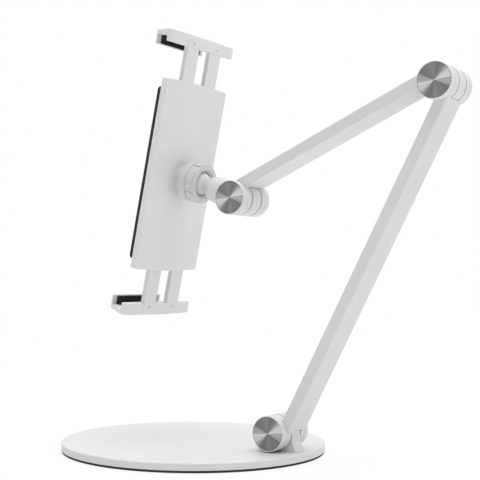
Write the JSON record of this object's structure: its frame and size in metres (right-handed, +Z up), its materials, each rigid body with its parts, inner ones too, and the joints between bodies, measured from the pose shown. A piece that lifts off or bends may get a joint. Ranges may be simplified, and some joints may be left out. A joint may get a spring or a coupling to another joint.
{
  "type": "tablet holder",
  "caption": "White desktop tablet holder: round weighted base, folding arms with friction hinges, and a sprung jaw clamp that tilts and turns on a ball joint.",
  "frame": {"origin": "centre of the base's underside, on the table", "axes": "+Z up; +X from the base's centre towards the lower arm's foot and the elbow; +Y along the arm hinges' pins, so that the three metal caps face -Y; the clamp holds its device on the -X side"},
  "size_m": [0.2712, 0.172, 0.2755],
  "materials": {
    "base_disc": "satin white powder coat",
    "base_pad": "matte black",
    "arm": "satin white powder coat",
    "lug": "satin white powder coat",
    "fastener": "plain zinc-plated",
    "washer": "matte black low-friction plastic",
    "cover": "satin white",
    "cap": "turned, fine circular grain",
    "ball": "smooth satin white",
    "seat": "natural white low-friction plastic",
    "shell": "smooth matte white",
    "pad": "soft matte black",
    "rail": "satin white powder coat"
  },
  "bodies": {
    "base": {"base_disc": "base_disc", "base_pad": "base_pad", "base_lug": "lug", "base_lug_screws": "fastener"},
    "lower_arm": {"lower_arm": "arm", "base_hinge_bolt": "fastener", "base_hinge_nut": "fastener", "base_hinge_spring_washers": "fastener", "base_hinge_friction_washers": "washer", "base_hinge_front_cover": "cover", "base_hinge_cap": "cap", "base_hinge_rear_cover": "cover", "elbow_hinge_bolt": "fastener", "elbow_hinge_nut": "fastener", "elbow_hinge_spring_washers": "fastener", "elbow_hinge_friction_washers": "washer", "elbow_hinge_front_cover": "cover", "elbow_hinge_cap": "cap", "elbow_hinge_rear_cover": "cover"},
    "upper_arm": {"upper_arm": "arm", "head_hinge_bolt": "fastener", "head_hinge_nut": "fastener", "head_hinge_spring_washers": "fastener", "head_hinge_friction_washers": "washer", "head_hinge_front_cover": "cover", "head_hinge_cap": "cap", "head_hinge_rear_cover": "cover"},
    "yoke": {"head_yoke": "arm", "ball_stud": "ball"},
    "seat_button": {"ball_seat_button": "seat"},
    "seat_ring": {"ball_seat_ring": "seat"},
    "clamp": {"ball_socket": "shell", "clamp_back_shell": "shell", "clamp_socket_screws": "fastener", "clamp_front_plate": "shell", "clamp_plate_screws": "fastener", "clamp_front_pad": "pad", "upper_jaw_spring": "fastener", "lower_jaw_spring": "fastener"},
    "lock_nut": {"lock_nut": "shell"},
    "upper_jaw": {"upper_jaw": "shell", "upper_jaw_pad": "pad", "upper_jaw_rails": "rail", "upper_jaw_screws": "fastener"},
    "lower_jaw": {"lower_jaw": "shell", "lower_jaw_pad": "pad", "lower_jaw_rails": "rail", "lower_jaw_screws": "fastener"}
  },
  "joints": [
    {"name": "base_hinge", "type": "hinge", "parent": "base", "child": "lower_arm", "pos_m": [0.0666, 0, 0.0177], "axis": [0, 1, 0], "range_deg": [-30, 24]},
    {"name": "elbow_hinge", "type": "hinge", "parent": "lower_arm", "child": "upper_arm", "pos_m": [0.17433, 0, 0.22554], "axis": [0, -1, 0], "range_deg": [-140, 20]},
    {"name": "head_hinge", "type": "hinge", "parent": "upper_arm", "child": "yoke", "pos_m": [0.03684, 0, 0.1636], "axis": [0, 1, 0], "range_deg": [-60, 28]},
    {"name": "ball_pan", "type": "hinge", "parent": "yoke", "child": "seat_button", "pos_m": [0.00202, 0, 0.17519], "axis": [0.1977, 0, 0.9803], "range_deg": [-18, 18]},
    {"name": "ball_tilt", "type": "hinge", "parent": "seat_button", "child": "seat_ring", "pos_m": [0.00202, 0, 0.17519], "axis": [0, 1, 0], "range_deg": [-13, 28]},
    {"name": "clamp_turn", "type": "hinge", "parent": "seat_ring", "child": "clamp", "pos_m": [0.00202, 0, 0.17519], "axis": [0.9803, 0, -0.1977], "continuous": true},
    {"name": "lock_nut_turn", "type": "hinge", "parent": "clamp", "child": "lock_nut", "pos_m": [0.00202, 0, 0.17519], "axis": [0.9803, 0, -0.1977], "range_deg": [-90, 90]},
    {"name": "upper_jaw_slide", "type": "slide", "parent": "clamp", "child": "upper_jaw", "axis": [0.1977, 0, 0.9803], "range_m": [-0.022, 0.022], "deforming": ["upper_jaw_spring"]},
    {"name": "lower_jaw_slide", "type": "slide", "parent": "clamp", "child": "lower_jaw", "axis": [-0.1977, 0, -0.9803], "range_m": [-0.022, 0.022], "deforming": ["lower_jaw_spring"]}
  ]
}
